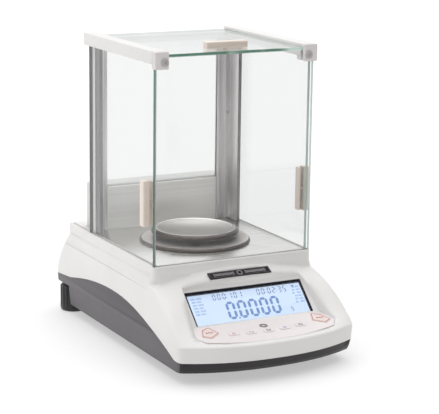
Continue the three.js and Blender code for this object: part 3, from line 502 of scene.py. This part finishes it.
# Each edge gets the painted shade or painted sheen picked by the way it faces.
pane("front_glass", lambda n: EDGE_GREEN_PAINTED_SHADE if n.x < -0.5 else EDGE_TOP_PAINTED_SHEEN_STREAKS if n.z > 0.5 else EDGE_GREEN_PAINTED_SHEEN)
for node in ("left_door_glass", "right_door_glass"):
    pane(node, lambda n: EDGE_GREEN_PAINTED_HALF_SHADE if n.y < -0.5 else EDGE_REAR_PAINTED_SHADE if n.y > 0.5 else EDGE_GREEN_PAINTED_SHEEN)
pane("top_door_glass", lambda n: EDGE_TOP_PAINTED_SHEEN_STREAKS if n.y < -0.5 else EDGE_GREEN_PAINTED_SHEEN, ROOF_GLASS)
pane("rear_glass", lambda n: EDGE_GREEN_PAINTED_SHEEN)
refine("display_window", WINDOW, edge=0.2)

for node, obj in frame["nodes"].items():
    obj.data.materials.clear()
    obj.data.materials.append(FINISH[SLOT_OF[node]])
frame["nodes"]["display_gasket"].data.materials[0] = GASKET_AND_PAINTED_SHADOW
frame["nodes"]["level_vial"].data.materials[0] = VIAL


# ---------------------------------------------------------------- marks on the display and the keys

class Plane:
    """The flat upper face of a node: its centre, two directions in it, half sizes in metres."""

    def __init__(self, node):
        mesh = frame["nodes"][node].data
        best = max(mesh.polygons, key=lambda p: p.area * max(0.0, p.normal.z) ** 4)
        self.normal = best.normal.copy()
        self.right = Vector((1, 0, 0))
        self.up = self.normal.cross(self.right).normalized()
        anchor = mesh.vertices[best.vertices[0]].co
        on = [v.co for v in mesh.vertices if abs((v.co - anchor).dot(self.normal)) < 2e-5]
        across = [p.dot(self.right) for p in on]
        along = [p.dot(self.up) for p in on]
        self.half = Vector(((max(across) - min(across)) / 2, (max(along) - min(along)) / 2))
        level = anchor.dot(self.normal)
        self.centre = (
            self.right * (max(across) + min(across)) / 2
            + self.up * (max(along) + min(along)) / 2
            + self.normal * level
        )

    def at(self, x, y, lift):
        """The point x, y millimetres from the face's centre, lift millimetres above it."""
        return self.centre + (self.right * x + self.up * y + self.normal * lift) * MM


def add_slab(bm, plane, outline, low, high):
    """A flat closed mark: an outline (mm, counterclockwise) between two heights over the plane."""
    bottom = [bm.verts.new(plane.at(x, y, low)) for x, y in outline]
    top = [bm.verts.new(plane.at(x, y, high)) for x, y in outline]
    bm.faces.new(top)
    bm.faces.new(bottom[::-1])
    for i in range(len(outline)):
        j = (i + 1) % len(outline)
        bm.faces.new((bottom[i], bottom[j], top[j], top[i]))


def add_band(bm, plane, outer, inner, low, high):
    """The strip between two outlines with as many points, one slab for each side."""
    for i in range(len(outer)):
        j = (i + 1) % len(outer)
        add_slab(bm, plane, [outer[i], outer[j], inner[j], inner[i]], low, high)


def round_outline(radius, y=0.0, squash=1.0):
    turns = [math.pi * k / 12 for k in range(24)]
    return [(radius * math.cos(a), y + squash * radius * math.sin(a)) for a in turns]


INK = (0.02, 0.08)  # mm over the display panel
SEGMENT_GAP = 0.35
DIGIT_SLANT = 0.06
SEGMENTS_OF = {
    "0": "abcdef", "1": "bc", "2": "abged", "3": "abgcd", "5": "afgcd", "g": "abfgcd",
}


def segment_outline(letter, width, height, stroke):
    """One bar of a seven-segment digit whose lower left corner is at the origin."""
    half = stroke / 2
    lines = {
        "a": ((half, height - half), (width - half, height - half)),
        "g": ((half, height / 2), (width - half, height / 2)),
        "d": ((half, half), (width - half, half)),
        "f": ((half, height / 2), (half, height - half)),
        "b": ((width - half, height / 2), (width - half, height - half)),
        "e": ((half, half), (half, height / 2)),
        "c": ((width - half, half), (width - half, height / 2)),
    }
    (x0, y0), (x1, y1) = lines[letter]
    if y0 == y1:
        x0, x1 = x0 + SEGMENT_GAP, x1 - SEGMENT_GAP
        below = [(x0, y0), (x0 + half, y0 - half), (x1 - half, y0 - half)]
        return below + [(x1, y0), (x1 - half, y0 + half), (x0 + half, y0 + half)]
    y0, y1 = y0 + SEGMENT_GAP, y1 - SEGMENT_GAP
    right = [(x0, y0), (x0 + half, y0 + half), (x0 + half, y1 - half)]
    return right + [(x0, y1), (x0 - half, y1 - half), (x0 - half, y0 + half)]


def add_digits(bm, plane, text, x, y, width, height, stroke, pitch):
    """Seven-segment digits from x, y (mm) rightwards; a dot sits in the gap after the digit before
    it, a colon takes a third of a place.
    """
    def put(outline, dx):
        add_slab(bm, plane, [(x + dx + px + DIGIT_SLANT * py, y + py) for px, py in outline], *INK)

    offset = 0.0
    for mark in text:
        if mark in ".:":
            heights = [0.0] if mark == "." else [height * 0.25, height * 0.65]
            for base in heights:
                dot = stroke * 0.6
                square = [(-dot, base), (0, base), (0, base + dot), (-dot, base + dot)]
                put(square, offset - pitch + width + dot + 0.25 * (pitch - width))
            if mark == ":":
                offset += pitch * 0.3
            continue
        for letter in SEGMENTS_OF[mark]:
            put(segment_outline(letter, width, height, stroke), offset)
        offset += pitch


def display_marks():
    plane = Plane("lcd_module")
    low = -plane.half.y / MM
    bm = bmesh.new()
    add_digits(bm, plane, "0.0000", -29.9, low + 2.6, 11.0, 22.5, 3.2, 13.7)
    make_piece("display_digits", bm, [SEGMENT], "base")
    bm = bmesh.new()
    add_digits(bm, plane, "000:101", -41.0, low + 28.2, 4.2, 8.6, 1.35, 6.1)
    add_digits(bm, plane, "00:02:35", 14.0, low + 28.2, 4.2, 8.6, 1.35, 5.9)
    add_digits(bm, plane, "g", 47.5, low + 2.6, 3.4, 6.2, 1.0, 5.0)
    add_slab(bm, plane, [(60.5, low + 32.5), (62.4, low + 35.6), (58.6, low + 35.6)], *INK)
    make_piece("display_small_digits", bm, [SEGMENT_FAINT], "base")
    bm = bmesh.new()
    for row in range(6):
        y = low + 12.6 + row * 3.9
        for x0, length in ((-66.5, 3), (-60.0, 3 + row % 2), (57.4 + row % 3, 2), (63.4, 3)):
            for part in range(length):
                x = x0 + part * 1.7
                add_slab(bm, plane, [(x, y), (x + 1.0, y), (x + 1.0, y + 2.2), (x, y + 2.2)], *INK)
    make_piece("display_legends", bm, [LEGEND], "base")


def window_painted_shadow():
    """Painted shadow of the recess walls: black along the top and both sides of the display window,
    deepest at the top.
    """
    plane = Plane("display_window")
    x, y = plane.half.x / MM - 0.25, plane.half.y / MM - 0.25
    bm = bmesh.new()
    below = y - 2.9
    for x0, x1, y0, y1 in ((-x, x, below, y), (-x, 1.0 - x, -y, below), (x - 1.3, x, -y, below)):
        add_slab(bm, plane, [(x0, y0), (x1, y0), (x1, y1), (x0, y1)], -0.02, 0.05)
    make_piece("window_painted_shadow", bm, [GASKET_AND_PAINTED_SHADOW], "base")


def ring_of(outline, inward):
    """The same outline, drawn in towards its centre by this much (mm), or out if negative."""
    cx = sum(p[0] for p in outline) / len(outline)
    cy = sum(p[1] for p in outline) / len(outline)
    pulled = []
    for x, y in outline:
        d = math.hypot(x - cx, y - cy)
        pulled.append((cx + (x - cx) * (d - inward) / d, cy + (y - cy) * (d - inward) / d))
    return pulled


def top_outline(node, plane):
    """Outline of a key's top face in the plane's millimetres, counterclockwise."""
    offsets = [v.co - plane.centre for v in frame["nodes"][node].data.vertices]
    top = [d for d in offsets if abs(d.dot(plane.normal)) < 3e-5]
    corners = {(round(d.dot(plane.right) / MM, 3), round(d.dot(plane.up) / MM, 3)) for d in top}
    return sorted(corners, key=lambda p: math.atan2(p[1], p[0]))


COLLAR_TOP = -0.52  # mm from a key's top, just over the membrane


def key_collars():
    """Thin collars of the membrane that close the gap round each key."""
    bm = bmesh.new()
    for node in SMALL_KEYS + END_KEYS:
        plane = Plane(node)
        outline = top_outline(node, plane)
        add_band(bm, plane, ring_of(outline, -0.55), ring_of(outline, -0.10), -1.0, COLLAR_TOP)
    make_piece("key_collars", bm, [MEMBRANE], "base")


def key_marks():
    for node in END_KEYS:
        plane = Plane(node)
        outline = top_outline(node, plane)
        bm = bmesh.new()
        add_band(bm, plane, ring_of(outline, 0.9), ring_of(outline, 1.9), -0.02, 0.10)
        for x in (-3.6, -0.6, 2.4):
            add_slab(bm, plane, [(x, -1.2), (x + 2.0, -1.2), (x + 2.0, 1.2), (x, 1.2)], -0.02, 0.08)
        make_piece(node + "_outline", bm, [RED_INK], BODY_OF[node])
    icons = {
        "calibrate_key": (RED_INK, [(-1.8, -1.4), (1.8, -1.4), (0, 1.8)]),
        "count_key": (BLUE_INK, [(-2, -1), (2, -1), (2, 1), (-2, 1)]),
        "unit_key": (DARK_INK, [(-1.6, -1.2), (1.6, -1.2), (2.2, 1.2), (-2.2, 1.2)]),
        "mode_key": (BLUE_INK, [(-1.8, 0), (0, -1.8), (1.8, 0), (0, 1.8)]),
        "print_key": (DARK_INK, [(-2, -1.4), (2, -1.4), (1.2, 1.4), (-1.2, 1.4)]),
    }
    for node, (ink, outline) in icons.items():
        plane = Plane(node)
        bm = bmesh.new()
        outline = [(1.35 * x, 1.35 * y) for x, y in outline]
        add_band(bm, plane, outline, ring_of(outline, 1.0), -0.02, 0.08)
        make_piece(node + "_mark", bm, [ink], BODY_OF[node])


def overlay_roundel():
    """Plain printed roundel above the middle key."""
    plane = Plane("unit_key")
    bm = bmesh.new()
    middle = 11.6
    for i in range(3):
        ring = round_outline(4.8 - 1.6 * i, middle, 0.85)
        inner = [(0.74 * x, middle + 0.74 * (y - middle)) for x, y in ring]
        add_band(bm, plane, ring, inner, -0.70, -0.55)
    make_piece("overlay_roundel", bm, [DARK_INK], "base")


display_marks()
window_painted_shadow()
key_collars()
key_marks()
overlay_roundel()


# ---------------------------------------------------------------- small details

CHANNEL_RIBS = 4
REBATE_X = 91.4 * MM  # floor of the rebate in a post's outer face
BOX_FACES = (
    (0, 2, 3, 1), (4, 5, 7, 6), (0, 1, 5, 4), (2, 6, 7, 3), (0, 4, 6, 2), (1, 3, 7, 5),
)

POST_SCREW_X, POST_SCREW_Y, POST_SCREW_Z = 85.6 * MM, 103.5 * MM, 240 * MM

# Turned details: rings of (radius, lift) in mm.
POST_SCREW = [(1.9, -0.02), (1.9, 0.1), (1.6, 0.45), (1.1, 0.55), (1.0, 0.3)]
COVER_SCREW = [(2.6, -0.2), (2.6, 0.5), (1.9, 1.0), (0.9, 1.1), (0.8, 0.5)]
PORT_PIN = [(0.5, -1), (0.5, 4.2), (0.3, 4.6)]
PORT_NUT = [(2.3, -0.2), (2.3, 3.6), (1.3, 3.6), (1.3, 2.0)]
INLET_PIN = [(1.0, -1), (1.0, 5.0), (0.6, 5.5)]
LEVEL_BUBBLE = [(0.6, -0.1), (1.4, 0.15), (1.5, 0.3), (0.9, 0.5)]
BACKWARDS = (0, 1, 0)


def box_mesh(bm, low, high):
    xs, ys, zs = zip(low, high)
    v = [bm.verts.new((x, y, z)) for z in zs for y in ys for x in xs]
    for face in BOX_FACES:
        bm.faces.new([v[i] for i in face])


def disc(bm, centre, axis, rings, sides=20):
    """A small turned detail: rings of (radius, lift) in mm, out along axis from centre."""
    axis = Vector(axis)
    u = axis.orthogonal().normalized()
    v = axis.cross(u)
    previous = None
    for radius, lift in rings:
        middle = Vector(centre) + axis * lift * MM
        angles = [2 * math.pi * i / sides for i in range(sides)]
        spokes = [u * math.cos(a) + v * math.sin(a) for a in angles]
        circle = [bm.verts.new(middle + spoke * radius * MM) for spoke in spokes]
        for i in range(sides if previous else 0):
            j = (i + 1) % sides
            bm.faces.new((previous[i], previous[j], circle[j], circle[i]))
        if not previous:
            bm.faces.new(circle[::-1])
        previous = circle
    bm.faces.new(previous)
    bmesh.ops.recalc_face_normals(bm, faces=bm.faces)


def post_channels():
    """Painted shade of the rear rebate in each post's outer face, as a strip of dark ribs."""
    for side, label in ((-1, "left"), (1, "right")):
        low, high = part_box(label + "_rear_post")
        seal_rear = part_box(label + "_post_seal")[1].y
        y0, y1 = seal_rear + 0.6 * MM, high.y - 1.0 * MM
        x0, x1 = sorted((side * (REBATE_X + 0.02 * MM), side * (REBATE_X + 0.7 * MM)))
        z0, z1 = low.z + 1 * MM, high.z - 1 * MM
        bm = bmesh.new()
        pitch = (y1 - y0) / CHANNEL_RIBS
        for i in range(CHANNEL_RIBS):
            box_mesh(bm, (x0, y0 + i * pitch, z0), (x1, y0 + (i + 0.8) * pitch, z1))
        round_edges(bm, 0.2 * MM)
        shade(make_piece(label + "_post_rebate_painted_shade", bm, [POST_REBATE_SHADE], "base"))


def post_screws():
    """Small screw in the front face of each post."""
    bm = bmesh.new()
    for side in (-1, 1):
        disc(bm, (side * POST_SCREW_X, POST_SCREW_Y, POST_SCREW_Z), (0, -1, 0), POST_SCREW)
    shade(make_piece("post_screws", bm, [ZINC], "base"))


def handle_ribs():
    """Three lengthwise ribs on each long face of a handle's grip."""
    for label in ("left_door", "right_door", "top_door"):
        node = label + "_handle"
        low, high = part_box(node)
        bm = bmesh.new()
        if label == "top_door":
            across, along = 2, 0
            levels = [high.z - d * MM for d in (2.0, 4.0, 6.0)]
        else:
            across, along = 0, 2
            tip, inwards = (high.x, -1) if label == "right_door" else (low.x, 1)
            levels = [tip + inwards * d * MM for d in (2.0, 4.0, 6.0)]
        for level in levels:
            for y in (low.y, high.y):
                start, end = Vector((0, 0, 0)), Vector((0, 0, 0))
                start[across], end[across] = level - 0.5 * MM, level + 0.5 * MM
                start[along], end[along] = low[along] + 1.6 * MM, high[along] - 1.6 * MM
                start.y, end.y = y - 0.3 * MM, y + 0.3 * MM
                box_mesh(bm, start, end)
        round_edges(bm, 0.2 * MM)
        shade(make_piece(node + "_ribs", bm, [HANDLE], BODY_OF[node]))


def rear_details():
    """Screws of the rear cover, pins of the two sockets, bubble and ring of the level."""
    low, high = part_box("rear_cover")
    bm = bmesh.new()
    for x in (low.x + 9 * MM, high.x - 9 * MM):
        for z in (low.z + 8 * MM, high.z - 9 * MM):
            disc(bm, (x, high.y, z), BACKWARDS, COVER_SCREW)
    shade(make_piece("rear_cover_screws", bm, [ZINC], "base"))

    low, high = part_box("data_port")
    middle = (low + high) / 2
    bm = bmesh.new()
    for row, count in ((1.4, 5), (-1.4, 4)):
        for i in range(count):
            x = middle.x + (i - (count - 1) / 2) * 2.77 * MM
            disc(bm, (x, high.y - 7 * MM, middle.z + row * MM), BACKWARDS, PORT_PIN, sides=10)
    for x in (low.x + 2.9 * MM, high.x - 2.9 * MM):
        disc(bm, (x, low.y + 1.4 * MM, middle.z), BACKWARDS, PORT_NUT, sides=6)
    shade(make_piece("data_port_pins", bm, [ZINC], "base"))

    low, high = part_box("power_inlet")
    middle = (low + high) / 2
    bm = bmesh.new()
    disc(bm, (middle.x, high.y - 6.4 * MM, middle.z), BACKWARDS, INLET_PIN, sides=14)
    shade(make_piece("power_inlet_pin", bm, [ZINC], "base"))

    low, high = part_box("level_vial")
    middle = (low + high) / 2
    bm = bmesh.new()
    disc(bm, (middle.x + 0.5 * MM, middle.y, high.z - 1.1 * MM), (0, 0, 1), LEVEL_BUBBLE)
    shade(make_piece("level_bubble", bm, [SEAL], "base"))
    bm = bmesh.new()
    ring = bmesh.ops.create_circle(bm, cap_ends=False, radius=2.3 * MM, segments=32)["verts"]
    for vert in ring:
        vert.co += Vector((middle.x, middle.y, high.z + 0.02 * MM))
    band = bmesh.ops.extrude_edge_only(bm, edges=bm.edges[:])["geom"]
    for item in band:
        if isinstance(item, bmesh.types.BMVert):
            flat = item.co.to_2d() - middle.to_2d()
            item.co.x += flat.x * 0.15
            item.co.y += flat.y * 0.15
    make_piece("level_ring", bm, [DARK_INK], "base")


def badge_border():
    """Raised line round the badge."""
    plane = Plane("name_badge")
    x, y = plane.half.x / MM - 1.0, plane.half.y / MM - 1.0
    outer = [(-x, -y), (x, -y), (x, y), (-x, y)]
    inner = [(-x + 0.5, -y + 0.5), (x - 0.5, -y + 0.5), (x - 0.5, y - 0.5), (-x + 0.5, y - 0.5)]
    bm = bmesh.new()
    add_band(bm, plane, outer, inner, -0.02, 0.12)
    make_piece("badge_border", bm, [LOWER_GREY], "base")


def badge_marks():
    """Plain ring in the middle of the badge and a row of short bars on each side of it."""
    plane = Plane("name_badge")
    half_x, half_y = plane.half.x / MM, plane.half.y / MM
    bm = bmesh.new()
    ring = round_outline(half_y - 1.8)
    add_band(bm, plane, ring, ring_of(ring, 0.6), -0.02, 0.10)
    half_bar, pitch = 0.85, 2.6
    count = int((half_x - 11) / pitch)
    for side in (-1, 1):
        for i in range(count):
            x = side * (7 + i * pitch + half_bar)
            tall = 1.5 if i % 3 else 1.9
            x0, x1 = x - half_bar, x + half_bar
            corners = [(x0, -tall), (x1, -tall), (x1, tall), (x0, tall)]
            add_band(bm, plane, corners, ring_of(corners, 0.75), -0.02, 0.10)
    make_piece("badge_marks", bm, [SCREW_COVER], "base")


def track_lips():
    """Thin beads that close the gaps on both sides of a door's groove."""
    for side, label in ((-1, "left"), (1, "right")):
        low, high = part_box(label + "_door_track")
        glass_low, glass_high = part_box(label + "_door_glass")
        inner, outer = sorted((abs(low.x), abs(high.x)))
        glass_inner, glass_outer = sorted((abs(glass_low.x), abs(glass_high.x)))
        bm = bmesh.new()
        inner_bead = (inner - 0.75 * MM, glass_inner - 0.12 * MM)
        outer_bead = (glass_outer + 0.12 * MM, outer + 0.5 * MM)
        for bead in (inner_bead, outer_bead):
            x0, x1 = sorted(side * x for x in bead)
            z0, z1 = high.z - 0.35 * MM, high.z + 0.3 * MM
            box_mesh(bm, (x0, low.y + 0.3 * MM, z0), (x1, high.y, z1))
        round_edges(bm, 0.12 * MM)
        shade(make_piece(label + "_track_lips", bm, [WHITE], "base"))


post_channels()
post_screws()
track_lips()
handle_ribs()
rear_details()
badge_border()
badge_marks()


# ---------------------------------------------------------------- studio

FLOOR_HALF = 9  # metres
FLOOR_GLOW = 0.44
BRIGHT_SIDE = (-0.25, 0.62, 0.74)  # where the surroundings are brightest
# From: how far a direction leans towards the bright side. To: the light's strength there.
SURROUNDINGS = {"From Min": -0.7, "From Max": 0.75, "To Min": 0.06, "To Max": 0.98}
SUN_FROM = (0.1, 0.15, 1.0)
SUN_STRENGTH = 1.35
SUN_SPREAD = 80  # degrees


def studio():
    """Glowing floor, a surround that brightens towards the back and the top, one broad sun."""
    mesh = bpy.data.meshes.new("floor")
    h = FLOOR_HALF
    mesh.from_pydata([(-h, -h, 0), (h, -h, 0), (h, h, 0), (-h, h, 0)], [], [(0, 1, 2, 3)])
    floor = bpy.data.objects.new("floor", mesh)
    bpy.context.scene.collection.objects.link(floor)
    s = Shader("floor")
    mesh.materials.append(s.surface(s.principled(
        Base_Color=(0.50, 0.50, 0.50, 1.0),
        Roughness=0.9,
        Emission_Color=(1.0, 1.0, 1.0, 1.0),
        Emission_Strength=FLOOR_GLOW,
    )))

    world = bpy.data.worlds.new("studio")
    bpy.context.scene.world = world
    world.use_nodes = True
    tree = world.node_tree
    background = tree.nodes["Background"]
    direction = tree.nodes.new("ShaderNodeTexCoord")
    towards = tree.nodes.new("ShaderNodeVectorMath")
    towards.operation = "DOT_PRODUCT"
    towards.inputs[1].default_value = Vector(BRIGHT_SIDE).normalized()
    level = tree.nodes.new("ShaderNodeMapRange")
    level.interpolation_type = "SMOOTHSTEP"
    for key, number in SURROUNDINGS.items():
        level.inputs[key].default_value = number
    tree.links.new(direction.outputs["Generated"], towards.inputs[0])
    tree.links.new(towards.outputs["Value"], level.inputs["Value"])
    tree.links.new(level.outputs[0], background.inputs["Strength"])
    background.inputs["Color"].default_value = (1.0, 1.0, 1.0, 1.0)

    lamp = bpy.data.lights.new("overhead", "SUN")
    lamp.energy = SUN_STRENGTH
    lamp.angle = math.radians(SUN_SPREAD)
    sun = bpy.data.objects.new("overhead", lamp)
    bpy.context.scene.collection.objects.link(sun)
    sun.rotation_euler = (-Vector(SUN_FROM)).to_track_quat("-Z", "Y").to_euler()


CAMERA_ANGLES = (-27.816, 12.667, 0.736)  # azimuth, elevation and roll in degrees
CAMERA_PLACE = (-0.8551, -1.6625, 0.57195)
CAMERA_LENS = 137.465  # mm on a 36 mm sensor


def camera():
    data = bpy.data.cameras.new("camera")
    obj = bpy.data.objects.new("camera", data)
    bpy.context.scene.collection.objects.link(obj)
    azimuth, elevation, roll = (math.radians(angle) for angle in CAMERA_ANGLES)
    back = Vector((
        math.sin(azimuth) * math.cos(elevation),
        -math.cos(azimuth) * math.cos(elevation),
        math.sin(elevation),
    ))
    level = Vector((math.cos(azimuth), math.sin(azimuth), 0))
    right = math.cos(roll) * level + math.sin(roll) * back.cross(level)
    up = back.cross(right)
    obj.matrix_world = Matrix.Translation(CAMERA_PLACE) @ Matrix((
        (right.x, up.x, back.x, 0),
        (right.y, up.y, back.y, 0),
        (right.z, up.z, back.z, 0),
        (0, 0, 0, 1),
    ))
    data.sensor_width = 36.0
    data.lens = CAMERA_LENS
    data.clip_start = 0.05
    data.clip_end = 40
    bpy.context.scene.camera = obj


studio()
camera()
bpy.context.scene.view_settings.view_transform = "Standard"
